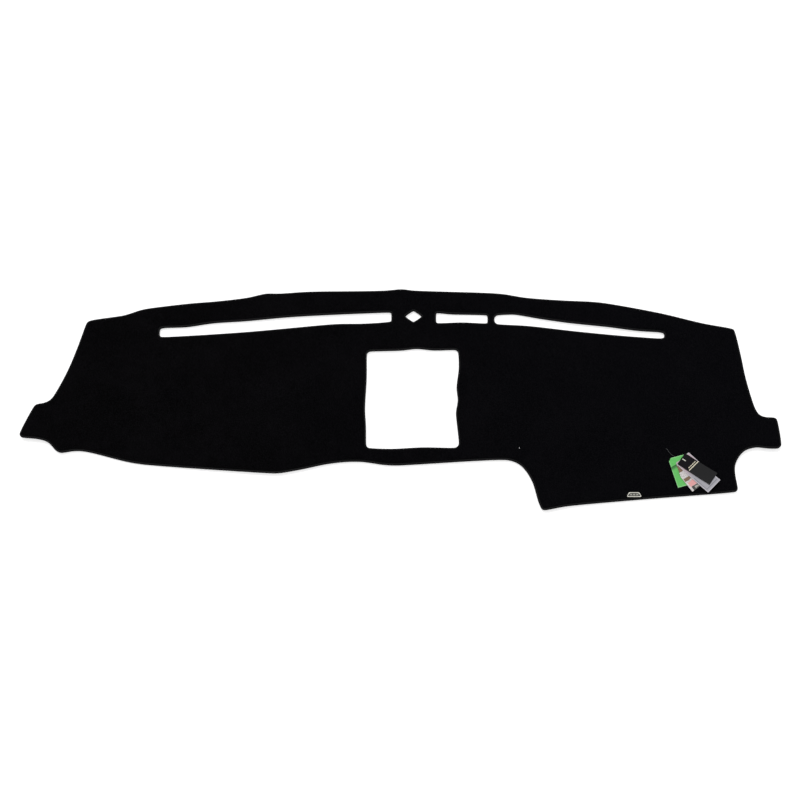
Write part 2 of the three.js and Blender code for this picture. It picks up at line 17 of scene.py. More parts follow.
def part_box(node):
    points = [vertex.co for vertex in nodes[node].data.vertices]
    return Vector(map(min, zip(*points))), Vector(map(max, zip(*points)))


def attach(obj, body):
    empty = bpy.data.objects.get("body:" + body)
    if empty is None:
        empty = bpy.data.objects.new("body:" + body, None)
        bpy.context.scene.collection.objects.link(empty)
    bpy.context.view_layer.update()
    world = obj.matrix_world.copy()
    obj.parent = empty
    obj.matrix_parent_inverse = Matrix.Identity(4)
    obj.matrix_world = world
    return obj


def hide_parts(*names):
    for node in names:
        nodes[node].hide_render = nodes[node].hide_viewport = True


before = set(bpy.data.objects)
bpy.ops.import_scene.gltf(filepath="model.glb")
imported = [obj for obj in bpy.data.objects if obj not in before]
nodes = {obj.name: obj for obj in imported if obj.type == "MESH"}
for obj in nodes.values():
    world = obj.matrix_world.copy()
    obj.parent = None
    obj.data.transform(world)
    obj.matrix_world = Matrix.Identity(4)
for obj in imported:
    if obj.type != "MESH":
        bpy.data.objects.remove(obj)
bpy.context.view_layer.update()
MM = 0.001
print("frame loaded:", len(nodes), "nodes")

# %% [markdown]
# The camera stands in front of the mat's cabin side and looks down at it. The tilt comes from
# the swing tags: their corners are square on the real cards. A long lens from far away keeps
# the two ends of a mat this wide at nearly one scale.

# %% Place the camera
CAMERA_ELEVATION = math.radians(72)
CAMERA_DISTANCE = 3.2010
CAMERA_LENS = 70
CAMERA_TARGET = Vector((-0.0002, -0.0042, 0))

camera_data = bpy.data.cameras.new("camera")
camera_data.lens = CAMERA_LENS
camera_data.clip_end = 50
camera = bpy.data.objects.new("camera", camera_data)
bpy.context.scene.collection.objects.link(camera)
away = Vector((0, -math.cos(CAMERA_ELEVATION), math.sin(CAMERA_ELEVATION)))
camera.location = CAMERA_TARGET + away * CAMERA_DISTANCE
camera.rotation_euler = (math.pi / 2 - CAMERA_ELEVATION, 0, 0)
bpy.context.scene.camera = camera
bpy.context.scene.view_settings.view_transform = "Standard"
print("camera at", tuple(round(c, 3) for c in camera.location))

# %% [markdown]
# Materials are written as arithmetic. Wire wraps one node output, so that an expression such as
# 1 - mask adds the Math node that works it out. Shading adds any other node to a node tree: its
# settings are set first, then its sockets. Finish is the shading of one material, with short
# names for the nodes that most materials need.

# %% Arithmetic on shader sockets
class Wire:
    def __init__(self, shading, socket):
        self.shading = shading
        self.socket = socket

    def math(self, operation, *operands):
        sockets = dict(enumerate(operands))
        return self.shading.node("ShaderNodeMath", {"operation": operation}, sockets)

    def __add__(self, other):
        return self.math("ADD", self, other)

    def __radd__(self, other):
        return self.math("ADD", other, self)

    def __sub__(self, other):
        return self.math("SUBTRACT", self, other)

    def __rsub__(self, other):
        return self.math("SUBTRACT", other, self)

    def __mul__(self, other):
        return self.math("MULTIPLY", self, other)

    def __gt__(self, other):
        return self.math("GREATER_THAN", self, other)

    def __lt__(self, other):
        return self.math("LESS_THAN", self, other)


class Shading:
    def __init__(self, tree):
        self.tree = tree

    def node(self, kind, settings=None, sockets=None, output=0):
        made = self.tree.nodes.new(kind)
        for name, value in (settings or {}).items():
            setattr(made, name, value)
        for key, value in (sockets or {}).items():
            self.feed(made.inputs[key], value)
        return Wire(self, made.outputs[output])

    def feed(self, socket, value):
        if isinstance(value, Wire):
            self.tree.links.new(value.socket, socket)
        elif socket.type == "RGBA":
            socket.default_value = (*value, 1)
        else:
            socket.default_value = value

    def seen_directly(self):
        """1 for rays that see the white background, 0 for the rays that carry its light."""
        rays = ("Is Camera Ray", "Is Glossy Ray", "Is Transmission Ray")
        camera, glossy, through = (self.node("ShaderNodeLightPath", output=ray) for ray in rays)
        return camera.math("MAXIMUM", camera, glossy.math("MAXIMUM", glossy, through))


class Finish(Shading):
    def __init__(self, name, **constants):
        self.material = bpy.data.materials.new(name)
        self.material.use_nodes = True
        super().__init__(self.material.node_tree)
        self.shader = self.tree.nodes["Principled BSDF"]
        self.set(**constants)

    def set(self, **sockets):
        for name, value in sockets.items():
            self.feed(self.shader.inputs[name.replace("_", " ")], value)
        return self

    def place(self):
        return self.node("ShaderNodeTexCoord", output="Object")

    def part(self, vector, axis):
        return self.node("ShaderNodeSeparateXYZ", None, {0: vector}, output="XYZ".index(axis))

    def noise(self, vector, scale, detail=2.0):
        sockets = {"Vector": vector, "Scale": scale, "Detail": detail}
        return self.node("ShaderNodeTexNoise", None, sockets)

    def cells(self, vector, scale):
        return self.node("ShaderNodeTexVoronoi", None, {"Vector": vector, "Scale": scale})

    def ramp(self, value, low, high):
        settings = {"interpolation_type": "SMOOTHSTEP"}
        sockets = {"Value": value, "From Min": low, "From Max": high}
        return self.node("ShaderNodeMapRange", settings, sockets)

    def mix(self, mask, off, on):
        sockets = {0: mask, 6: off, 7: on}
        return self.node("ShaderNodeMix", {"data_type": "RGBA"}, sockets, output=2)

    def bump(self, height, depth, strength=1.0):
        sockets = {"Height": height, "Distance": depth, "Strength": strength}
        return self.node("ShaderNodeBump", None, sockets)


print("shader arithmetic ready")

# %% [markdown]
# The real mat was folded for sale, so it doesn't lie dead flat: its ears and corners lift by a
# few millimetres and long shallow waves cross it. One function of x and y gives this lift.
# Everything on the mat adds it to its height, so the pieces stay together. It is nowhere
# negative, because the mat rests on the floor.

# %% Lift of the resting sheet
# Each row is x, y, reach and height.
LIFTED_CORNERS = [
    (-0.775, -0.075, 0.090, 0.0055),
    (0.775, -0.085, 0.085, 0.0045),
    (-0.650, 0.165, 0.080, 0.0035),
    (0.697, 0.148, 0.070, 0.0025),
    (0.288, -0.240, 0.060, 0.0030),
    (-0.250, -0.165, 0.110, 0.0020),
    (0.010, 0.240, 0.120, 0.0015),
]
WAVE_HEIGHT = 1.1 * MM


def sheet_lift(x, y):
    waves = math.sin(x * 9.1 + 0.7) * math.cos(y * 13.0 + x * 2.3 + 0.4)
    lift = WAVE_HEIGHT * (1 + waves)
    for corner_x, corner_y, reach, height in LIFTED_CORNERS:
        distance = math.hypot(x - corner_x, y - corner_y) / reach
        lift += height * math.exp(-distance * distance)
    return lift


def lift_vertices(bm):
    for vert in bm.verts:
        vert.co.z += sheet_lift(vert.co.x, vert.co.y)


print("lift at the left ear, mm:", round(sheet_lift(-0.77, -0.08) / MM, 1))

# %% [markdown]
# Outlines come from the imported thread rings. Each ring has one row of corners at the height
# where its outer side starts to round, and walking along that row gives the outline. The packed
# outline is made of straight pieces, so a centripetal curve is drawn through its corners and
# divided into even steps. Outer outlines run counter-clockwise and holes clockwise, so the
# carpet is always on the left.

# %% Read the outlines from the frame
RING_HEIGHT = 0.8 * MM
RING_TOLERANCE = 0.02 * MM
SAME_POINT = 1e-6
CURVE_STEPS = 40
SHEET_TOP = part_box("carpet_sheet")[1].z


def ring_corners(node):
    bm = bmesh.new()
    bm.from_mesh(nodes[node].data)
    bmesh.ops.remove_doubles(bm, verts=bm.verts, dist=SAME_POINT)
    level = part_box(node)[0].z + RING_HEIGHT
    row = [e for e in bm.edges if all(abs(v.co.z - level) < RING_TOLERANCE for v in e.verts)]
    links = {}
    for edge in row:
        for vert in edge.verts:
            links.setdefault(vert.index, []).append(edge.other_vert(vert).index)
    bm.verts.ensure_lookup_table()
    start = row[0].verts[0].index
    walk = [start, links[start][0]]
    while walk[-1] != start:
        here, there = links[walk[-1]]
        walk.append(there if here == walk[-2] else here)
    corners = np.array([bm.verts[i].co.xy for i in walk[:-1]])
    bm.free()
    return corners


def signed_area(points):
    x, y = points.T
    return 0.5 * float(np.sum(x * np.roll(y, -1) - np.roll(x, -1) * y))


def even_loop(corners, spacing):
    """A smooth closed curve through the corners, divided into even steps."""
    before = np.roll(corners, 1, 0)
    after = np.roll(corners, -1, 0)
    beyond = np.roll(corners, -2, 0)
    spans = ((before, corners), (corners, after), (after, beyond))
    gap = [np.sqrt(np.linalg.norm(end - start, axis=1))[:, None] for start, end in spans]
    leave = ((corners - before) / gap[0] - (after - before) / (gap[0] + gap[1])
             + (after - corners) / gap[1]) * gap[1]
    arrive = ((after - corners) / gap[1] - (beyond - corners) / (gap[1] + gap[2])
              + (beyond - after) / gap[2]) * gap[1]
    fine = []
    for t in np.linspace(0, 1, CURVE_STEPS, endpoint=False):
        fine.append(
            (2 * t**3 - 3 * t**2 + 1) * corners + (t**3 - 2 * t**2 + t) * leave
            + (3 * t**2 - 2 * t**3) * after + (t**3 - t**2) * arrive
        )
    fine = np.stack(fine, 1).reshape(-1, 2)
    closed = np.vstack([fine, fine[:1]])
    travelled = np.concatenate([[0], np.cumsum(np.linalg.norm(np.diff(closed, axis=0), axis=1))])
    count = round(travelled[-1] / spacing)
    marks = np.linspace(0, travelled[-1], count, endpoint=False)
    return np.stack([np.interp(marks, travelled, closed[:, axis]) for axis in (0, 1)], 1)


def left_of_travel(points):
    ahead = np.roll(points, -1, 0) - np.roll(points, 1, 0)
    ahead /= np.linalg.norm(ahead, axis=1)[:, None]
    return np.stack([-ahead[:, 1], ahead[:, 0]], 1)


outline_corners = {}
for name in nodes:
    if name.endswith("_thread"):
        corners = ring_corners(name)
        is_outer = name == "outer_edge_thread"
        if (signed_area(corners) > 0) != is_outer:
            corners = corners[::-1]
        outline_corners[name] = corners
        print(name, "corners:", len(corners))

# %% [markdown]
# Carpet pile this short is seen as a velvety black with no single fibres. Two things still show:
# a faint mottle where the pile leans different ways and so catches the light unevenly, and tiny
# tufts close up. Both are noise on the object's own coordinates, painted into the colour as light
# and shade: the mottle as painted sheen, the tufts as lighter tips with painted shade between
# them. The right side is painted a little lighter and bluer, as painted light. Nearly all light
# is absorbed, so the plain reflection is kept low, and a little sheen stands for light caught by
# the fibre tips.

# %% Carpet pile
def carpet_finish():
    pile = Finish("carpet_pile", Roughness=0.92, Specular_IOR_Level=0.02, Sheen_Weight=0.008)
    place = pile.place()
    lean = pile.noise(place, 9, detail=4)
    patches = pile.noise(place, 60, detail=3)
    tufts = pile.cells(place, 620)
    fibres = pile.noise(place, 2400, detail=2)
    across = pile.part(place, "X")
    # Painted sheen: patches where the pile leans differently are painted lighter and darker.
    painted_nap_sheen = pile.ramp(lean * 0.65 + patches * 0.35, 0.38, 0.66)
    # Painted light and shade: tuft tips are painted lighter and the gaps between tufts darker.
    tips = pile.ramp(fibres * 0.55 + (1 - tufts) * 0.45, 0.46, 0.72)
    shade = pile.mix(painted_nap_sheen, (0.0004, 0.0003, 0.0005), (0.0016, 0.0014, 0.0018))
    # Painted light: the sheet is painted a little lighter and bluer towards its right side.
    painted_right_light = pile.mix(pile.ramp(across, -0.6, 0.7) * 0.5, shade, (0.0014, 0.0015, 0.0026))
    colour = pile.mix(tips * 0.55, painted_right_light, (0.0100, 0.0094, 0.0110))
    relief = pile.bump((1 - tufts) * 0.7 + fibres * 0.6, 0.9 * MM)
    return pile.set(Base_Color=colour, Normal=relief).material


def backing_finish():
    foam = Finish("foam_backing", Roughness=0.85, Specular_IOR_Level=0.1)
    place = foam.place()
    pores = foam.cells(place, 900)
    colour = foam.mix(foam.noise(place, 40), (0.006, 0.006, 0.0065), (0.010, 0.010, 0.011))
    return foam.set(Base_Color=colour, Normal=foam.bump(pores, 0.3 * MM, 0.6)).material


carpet_pile = carpet_finish()
foam_backing = backing_finish()
print("carpet materials made")

# %% [markdown]
# The sheet is one closed body. Its plan is filled between the outlines, cut by a grid so that it
# can lie unevenly, and given its thickness by one extrusion. The stitching pinches its edge, so
# its faces step in under the thread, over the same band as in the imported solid.

# %% Sheet of carpet
CUT_TOLERANCE = 1e-7
PINCH_WIDTH = 4.0 * MM
PINCH_END = 5.0 * MM
PINCH_DEPTH = 0.8 * MM
GRID_STEP = 8 * MM
OUTLINE_STEP = 4 * MM
PILE_UNEVEN = 0.16 * MM
PIN_HOLE = (0.24283, -0.10807)
PIN_HOLE_RADIUS = 1.5 * MM
PIN_HOLE_SIDES = 16
PILE_SCALE = 70


def add_loop(bm, points):
    verts = [bm.verts.new((x, y, 0)) for x, y in points]
    return [bm.edges.new((verts[i - 1], vert)) for i, vert in enumerate(verts)]


def cut(bm, point, normal):
    geometry = bm.verts[:] + bm.edges[:] + bm.faces[:]
    bmesh.ops.bisect_plane(bm, geom=geometry, dist=CUT_TOLERANCE, plane_co=point, plane_no=normal)


def grid_cut(bm, low, high, step, along):
    place = low + step
    while place < high:
        cut(bm, along * place, along)
        place += step


def finished_piece(name, bm, *materials, smooth=True):
    mesh = bpy.data.meshes.new(name)
    bm.to_mesh(mesh)
    bm.free()
    for material in materials:
        mesh.materials.append(material)
    if smooth:
        mesh.shade_smooth()
    piece = bpy.data.objects.new(name, mesh)
    bpy.context.scene.collection.objects.link(piece)
    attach(piece, "root")
    print(name, "faces:", len(mesh.polygons))
    return piece


def plan_of_sheet():
    bm = bmesh.new()
    inner = []
    for corners in outline_corners.values():
        edge = even_loop(corners, OUTLINE_STEP)
        inward = left_of_travel(edge)
        insets = (PINCH_DEPTH, PINCH_WIDTH, PINCH_END)
        loops = [add_loop(bm, edge + inward * inset) for inset in insets]
        bmesh.ops.bridge_loops(bm, edges=loops[0] + loops[1])
        bmesh.ops.bridge_loops(bm, edges=loops[1] + loops[2])
        inner += loops[2]
    turns = np.linspace(0, 2 * math.pi, PIN_HOLE_SIDES, endpoint=False)
    circle = np.stack([np.cos(turns), np.sin(turns)], 1)
    inner += add_loop(bm, np.array(PIN_HOLE) + PIN_HOLE_RADIUS * circle)
    up = (0, 0, 1)
    bmesh.ops.triangle_fill(bm, use_beauty=True, use_dissolve=False, edges=inner, normal=up)
    return bm


def make_sheet():
    bm = plan_of_sheet()
    low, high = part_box("carpet_sheet")
    grid_cut(bm, low.x, high.x, GRID_STEP, Vector((1, 0, 0)))
    grid_cut(bm, low.y, high.y, GRID_STEP, Vector((0, 1, 0)))
    bmesh.ops.recalc_face_normals(bm, faces=bm.faces)
    if sum(face.normal.z for face in bm.faces) > 0:
        bmesh.ops.reverse_faces(bm, faces=bm.faces)
    underside = bm.faces[:]
    top = bmesh.ops.extrude_face_region(bm, geom=underside)["geom"]
    top_verts = {v for v in top if isinstance(v, bmesh.types.BMVert)}
    samples = np.vstack([even_loop(corners, MM) for corners in outline_corners.values()])
    tree = KDTree(len(samples))
    for i, (x, y) in enumerate(samples):
        tree.insert((x, y, 0), i)
    tree.balance()
    for vert in bm.verts:
        depth = tree.find((vert.co.x, vert.co.y, 0))[2]
        pinch = PINCH_DEPTH * min(1, max(0, (PINCH_END - depth) / (PINCH_END - PINCH_WIDTH)))
        uneven = PILE_UNEVEN * (noise.noise(vert.co * PILE_SCALE) - 0.6)
        vert.co.z = SHEET_TOP - pinch + min(0, uneven) if vert in top_verts else pinch
    lift_vertices(bm)
    bmesh.ops.recalc_face_normals(bm, faces=bm.faces)
    for face in bm.faces:
        face.material_index = 1 if face.normal.z < -0.5 else 0
    return finished_piece("carpet", bm, carpet_pile, foam_backing)


carpet = make_sheet()
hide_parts("carpet_sheet")

# %% [markdown]
# Overlocked edges are rows of yarn wrapped over the cut. A grid runs along the outline in small
# steps, and at each step it is wrapped round the section of the imported ring. It sinks a little
# between one wrap and the next, and the wraps slant across the top as real stitches do. Each
# point keeps how near it is to the crown of its wrap, so that the gaps between them can be
# painted dark as shade.

# %% Overlock yarn
STITCH_PITCH = 3.0 * MM
STEPS_PER_STITCH = 6
STITCH_RIPPLE = 0.42 * MM
STITCH_SLANT = 0.8
YARN_BUILD = 0.5 * MM
YARN_REACH = 3.7 * MM
YARN_ROUND = 0.55 * MM
YARN_CROWN = 2.0 * MM
YARN_SHOULDER = 0.1 * MM
YARN_SIDE = 1.2 * MM


def yarn_finish():
    yarn = Finish("overlock_yarn", Roughness=0.65, Specular_IOR_Level=0.08, Sheen_Weight=0.005)
    place = yarn.place()
    strands = yarn.noise(place, 1800, detail=2)
    wrap = yarn.node("ShaderNodeAttribute", {"attribute_name": "wrap"}, output="Fac")
    thread = yarn.mix(strands, (0.0028, 0.0026, 0.0032), (0.0130, 0.0124, 0.0140))
    # Painted shade: the gaps between wraps are painted near black, and the crowns keep the yarn's
    # colour.
    colour = yarn.mix(wrap, (0.0002, 0.0002, 0.0002), thread)
    return yarn.set(Base_Color=colour, Normal=yarn.bump(strands, 0.2 * MM, 0.8)).material


overlock_yarn = yarn_finish()
# Each corner is its inset from the outline and its height.
yarn_section = [
    (YARN_ROUND, 0), (YARN_REACH, 0), (YARN_REACH, YARN_BUILD), (YARN_BUILD, YARN_BUILD),
    (YARN_BUILD, SHEET_TOP - YARN_BUILD), (YARN_REACH, SHEET_TOP - YARN_BUILD),
    (YARN_REACH, SHEET_TOP), (YARN_CROWN, SHEET_TOP), (YARN_ROUND, SHEET_TOP - YARN_SHOULDER),
    (0, SHEET_TOP - YARN_SIDE), (0, YARN_SIDE),
]


def whole_stitches(corners):
    """The outline in even steps, with a whole number of stitches round it."""
    step = STITCH_PITCH / STEPS_PER_STITCH
    rough_count = len(even_loop(corners, step))
    count = rough_count - rough_count % STEPS_PER_STITCH
    return even_loop(corners, step * rough_count / count)


def make_thread(name):
    edge = whole_stitches(outline_corners[name])
    count = len(edge)
    inward = left_of_travel(edge)
    sides = len(yarn_section)
    bm = bmesh.new()
    bmesh.ops.create_grid(bm, x_segments=count, y_segments=sides, size=1)
    wrap = bm.verts.layers.float.new("wrap")
    for vert in bm.verts:
        rank = round((vert.co.x + 1) / 2 * count)
        inset, height = yarn_section[round((vert.co.y + 1) / 2 * sides) % sides]
        turn = 2 * math.pi * (rank / STEPS_PER_STITCH + STITCH_SLANT * inset / YARN_REACH)
        roundness = math.sqrt(0.5 + 0.5 * math.cos(turn))
        # Near 1 on a wrap's crown and 0 in the gaps; the yarn's colour paints shade into the gaps
        # from it.
        vert[wrap] = roundness * roundness
        sunk = STITCH_RIPPLE * (1 - roundness)
        if height > SHEET_TOP / 2:
            height -= sunk if inset > YARN_BUILD else sunk / 2
        if inset < YARN_BUILD:
            inset += sunk
        vert.co.xy = edge[rank % count] + inward[rank % count] * inset
        vert.co.z = height
    bmesh.ops.remove_doubles(bm, verts=bm.verts, dist=CUT_TOLERANCE)
    lift_vertices(bm)
    bmesh.ops.recalc_face_normals(bm, faces=bm.faces)
    piece = finished_piece(name.replace("_thread", "_stitching"), bm, overlock_yarn)
    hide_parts(name)
    return piece


stitching = [make_thread(name) for name in outline_corners]

# %% [markdown]
# The badge is a small casting with a raised rim and plain raised bars. Its solid is right, but
# its edges are razor sharp, so a copy is merged, its flat faces are joined and its edges get a
# fine bevel. An attribute keeps how high each point stands, so that dark enamel can fill the
# recesses.

# %% Cast badge
BADGE_BEVEL = 0.16 * MM
FLAT_ANGLE = math.radians(1)
SHARP_ANGLE = math.radians(35)


def badge_finish():
    metal = Finish("badge_metal")
    relief = metal.node("ShaderNodeAttribute", {"attribute_name": "relief"}, output="Fac")
    place = metal.place()
    raised = metal.ramp(relief, 0.82 * MM, 1.5 * MM)
    grain = metal.noise(place, 2200, detail=3)
    silver = metal.mix(grain, (0.46, 0.45, 0.40), (0.62, 0.61, 0.55))
    colour = metal.mix(raised, (0.035, 0.034, 0.028), silver)
    metal.set(Base_Color=colour, Metallic=raised * 0.8, Roughness=0.55 - raised * 0.18)
    return metal.set(Normal=metal.bump(grain, 0.05 * MM, 0.5)).material


def make_badge():
    bm = bmesh.new()
    bm.from_mesh(nodes["badge"].data)
    bmesh.ops.remove_doubles(bm, verts=bm.verts, dist=SAME_POINT)
    bmesh.ops.dissolve_limit(bm, angle_limit=FLAT_ANGLE, verts=bm.verts, edges=bm.edges)
    sharp = [e for e in bm.edges if len(e.link_faces) == 2 and e.calc_face_angle() > SHARP_ANGLE]
    bmesh.ops.bevel(
        bm, geom=sharp, offset=BADGE_BEVEL, segments=2, profile=0.5, affect="EDGES", material=-1,
    )
    relief = bm.verts.layers.float.new("relief")
    for vert in bm.verts:
        vert[relief] = vert.co.z - SHEET_TOP
    lift_vertices(bm)
    piece = finished_piece("cast_badge", bm, badge_finish(), smooth=False)
    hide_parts("badge")
    return piece


badge = make_badge()

# %% [markdown]
# Four swing tags lie in a pile on one pin. Each card is the top face of its solid, cut into
# strips so that it can curl, and given its thickness again. A card's height is that of the card
# below plus its own curl, so the pile never cuts through itself. The green card's upper end is
# folded over: the fold makes a small step across it, and the other cards lie over that step.

# %% Cards that curl
CARD_THICKNESS = 0.5 * MM
CARD_GRID = 3 * MM
CARD_GAP = 0.12 * MM
CUP_WIDTH = 20 * MM
PIN = Vector((0.57523, -0.13507))
FOLD_THROUGH = Vector((0.5484, -0.1503))
FOLD_ANGLE = math.radians(31.8)
FOLD_HEIGHT = 1.0 * MM
FOLD_STEP = 1.2 * MM
FOLD_SUPPORT = 60 * MM
CARDS = {
    "green_tag": {"angle": -74.5, "length": 51, "curl": 0.6, "cup": 0.4},
    "printed_tag": {"angle": -54.5, "length": 61, "curl": 0.7, "cup": 0.2},
    "grey_tag": {"angle": -45, "length": 80, "curl": 1.2, "cup": 0.5},
    "black_tag": {"angle": -35.5, "length": 70, "curl": 0.6, "cup": 0.3},
}
fold_across = Vector((-math.sin(FOLD_ANGLE), math.cos(FOLD_ANGLE), 0))


def fold_rise(name, x, y):
    above = (x - FOLD_THROUGH.x) * fold_across.x + (y - FOLD_THROUGH.y) * fold_across.y
    run = FOLD_STEP if name == "green_tag" else FOLD_SUPPORT
    return FOLD_HEIGHT * min(1, max(0, 1 + above / run))


def own_curl(card, x, y):
    angle = math.radians(card["angle"])
    offset = Vector((x, y)) - PIN
    along = (offset.x * math.cos(angle) + offset.y * math.sin(angle)) / (card["length"] * MM)
    across = (-offset.x * math.sin(angle) + offset.y * math.cos(angle)) / CUP_WIDTH
    return MM * (card["curl"] * max(0, along) ** 2 + card["cup"] * across * across)


def card_lift(name, x, y):
    lift = sheet_lift(x, y) + fold_rise(name, x, y)
    for below, card in CARDS.items():
        lift += own_curl(card, x, y) + CARD_GAP
        if below == name:
            return lift
    raise ValueError(name)


def make_card(name, face_material, core_material):
    bm = bmesh.new()
    bm.from_mesh(nodes[name].data)
    bmesh.ops.remove_doubles(bm, verts=bm.verts, dist=SAME_POINT)
    other = [face for face in bm.faces if face.normal.z < 0.9]
    bmesh.ops.delete(bm, geom=other, context="FACES")
    angle = math.radians(CARDS[name]["angle"])
    along = Vector((math.cos(angle), math.sin(angle), 0))
    across = Vector((-math.sin(angle), math.cos(angle), 0))
    for direction in (along, across):
        reach = [vert.co.dot(direction) for vert in bm.verts]
        grid_cut(bm, min(reach), max(reach), CARD_GRID, direction)
    for run in (0, FOLD_STEP):
        cut(bm, FOLD_THROUGH.to_3d() - fold_across * run, fold_across)
    faces = bm.faces[:]
    lower = bmesh.ops.extrude_face_region(bm, geom=faces)["geom"]
    lower_verts = [v for v in lower if isinstance(v, bmesh.types.BMVert)]
    bmesh.ops.translate(bm, verts=lower_verts, vec=(0, 0, -CARD_THICKNESS))
    bmesh.ops.recalc_face_normals(bm, faces=bm.faces)
    for face in bm.faces:
        face.material_index = 0 if face.normal.z > 0.5 else 1
    for vert in bm.verts:
        vert.co.z += card_lift(name, vert.co.x, vert.co.y)
    new_name = name.replace("_tag", "_card")
    piece = finished_piece(new_name, bm, face_material, core_material, smooth=False)
    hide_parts(name)
    return piece


print("cards, from the mat upwards:", ", ".join(CARDS))

# %% [markdown]
# Print on the cards is plain fields of colour. A Mapping node turns the object's coordinates so
# that along is millimetres from the pin towards the card's far end, and across is millimetres
# from the pin's line to the left. Each pair of numbers is where a field starts and ends. The
# green card also gets a painted shadow: a darker band just below its fold, where the folded end
# shades it.

# %% Finishes of the cards
GREEN_FACE = ((-10.2, 49.8), (-28.4, 40))
# Where the painted shadow below the green card's fold starts and reaches full depth, in mm across
# the fold.
GREEN_FOLD_SHADOW = (-9.0, -2.2)
PINK_FOOT = 2
BROWN_HEAD = 16
BROWN_BAND = (31, 38.5)
PINK_FIELD = (42, 53)
DARK_FIELD = 53.5
GREY_IN_DARK = (56, 59.5)
GREY_FACE = ((-2.8, 78.4), (-16.2, 17.3))
END_LINE = ((73.0, 74.6), (-13.5, 15))
SIDE_LINE = ((40, 74.6), (-14.6, -13.4))
SOLID_BAND = ((21.5, 23.5), (-12.6, 14))
DASHED_BAND = ((17.4, 19.2), (-9, 11.5))
BAND_SLANT = 0.19
DASHES_PER_MM = 0.19
CHARCOAL_START = 23.6


def turned(finish, origin, angle):
    sockets = {
        "Vector": finish.place(), "Location": (origin.x, origin.y, 0), "Rotation": (0, 0, angle),
        "Scale": (MM, MM, MM),
    }
    return finish.node("ShaderNodeMapping", {"vector_type": "TEXTURE"}, sockets)


def card_axes(finish, name):
    local = turned(finish, PIN, math.radians(CARDS[name]["angle"]))
    return local, finish.part(local, "X"), finish.part(local, "Y")


def between(value, low, high):
    return (value > low) * (value < high)


def inside(along, across, field):
    return between(along, *field[0]) * between(across, *field[1])


def core_finish():
    core = Finish("card_core", Roughness=0.8, Specular_IOR_Level=0.3)
    fibre = core.noise(core.place(), 1500)
    return core.set(Base_Color=core.mix(fibre, (0.42, 0.41, 0.38), (0.60, 0.59, 0.56))).material


def green_finish():
    card = Finish("green_card", Roughness=0.45, Specular_IOR_Level=0.35, Coat_Weight=0.1)
    local, along, across = card_axes(card, "green_tag")
    fold = turned(card, FOLD_THROUGH, FOLD_ANGLE)
    above = card.part(fold, "Y")
    mottle = card.noise(local, 0.35, detail=3)
    body = card.mix(mottle, (0.075, 0.42, 0.075), (0.14, 0.56, 0.13))
    rim = 1 - inside(along, across, GREEN_FACE)
    rimmed = card.mix(rim * 0.7, body, (0.30, 0.66, 0.28))
    # Painted shadow: the green is darkened in a band just below the fold, where the folded end
    # shades the card.
    fold_shadow = card.ramp(above, *GREEN_FOLD_SHADOW) * (above < 0.3)
    fold_shadowed = card.mix(fold_shadow * 0.85, rimmed, (0.02, 0.12, 0.02))
    return card.set(Base_Color=fold_shadowed).material


def printed_finish():
    card = Finish("printed_card", Roughness=0.4, Coat_Weight=0.15)
    local, along, across = card_axes(card, "printed_tag")
    wander = card.noise(local, 0.12, detail=1) * 5 - 2.5
    place = along + wander
    streaks = card.noise(local, 0.5, detail=3)
    pale = card.mix(card.ramp(streaks, 0.35, 0.7), (0.42, 0.38, 0.38), (0.78, 0.75, 0.74))
    brown = card.mix(streaks, (0.10, 0.05, 0.025), (0.22, 0.13, 0.06))
    paint = card.mix(place > BROWN_HEAD, brown, pale)
    paint = card.mix(between(place, *BROWN_BAND), paint, brown)
    paint = card.mix(between(place, *PINK_FIELD) * (across > -24), paint, (0.70, 0.33, 0.32))
    paint = card.mix((place > DARK_FIELD) * (across > -23), paint, (0.02, 0.018, 0.015))
    paint = card.mix(between(place, *GREY_IN_DARK) * (across > -17), paint, (0.38, 0.36, 0.32))
    paint = card.mix(along < PINK_FOOT, paint, (0.46, 0.38, 0.40))
    border = (across < -26) * (along > 24)
    return card.set(Base_Color=card.mix(border * 0.8, paint, (0.70, 0.66, 0.62))).material


def grey_finish():
    card = Finish("grey_card", Specular_IOR_Level=0.4, Coat_Weight=0.08)
    local, along, across = card_axes(card, "grey_tag")
    body = card.mix(card.ramp(along, 8, 42), (0.47, 0.36, 0.40), (0.32, 0.315, 0.35))
    lines = inside(along, across, END_LINE) + inside(along, across, SIDE_LINE)
    lined = card.mix(lines * 0.75, body, (0.11, 0.11, 0.13))
    rim = 1 - inside(along, across, GREY_FACE)
    grain = card.noise(local, 3, detail=2)
    card.set(Base_Color=card.mix(rim * 0.75, lined, (0.58, 0.55, 0.60)))
    return card.set(Roughness=0.32 + grain * 0.15).material


def black_finish():
    card = Finish("black_card", Roughness=0.62, Specular_IOR_Level=0.08)
    local, along, across = card_axes(card, "black_tag")
    fibre = card.noise(local, 4, detail=3)
    slanted = along - across * BAND_SLANT
    charcoal = card.mix(fibre, (0.0125, 0.0125, 0.013), (0.018, 0.018, 0.019))
    body = card.mix(slanted > CHARCOAL_START, (0.0042, 0.0032, 0.0050), charcoal)
    solid_band = inside(slanted, across, SOLID_BAND)
    dash = across.math("FRACT", across * DASHES_PER_MM + 10)
    dashed_band = inside(slanted, across, DASHED_BAND) * (dash > 0.2)
    bands = solid_band.math("MAXIMUM", solid_band, dashed_band)
    return card.set(Base_Color=card.mix(bands, body, (0.70, 0.65, 0.50))).material


card_core = core_finish()
cards = [
    make_card("green_tag", green_finish(), card_core),
    make_card("printed_tag", printed_finish(), card_core),
    make_card("grey_tag", grey_finish(), card_core),
    make_card("black_tag", black_finish(), card_core),
]

# %% [markdown]
# The nylon pin is moulded in one: a bar under the mat, a thin filament and a flat head on the
# top card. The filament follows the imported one. It is drawn as a curve with a round section and
# turned into a mesh, and the bar and head are rounded blocks.

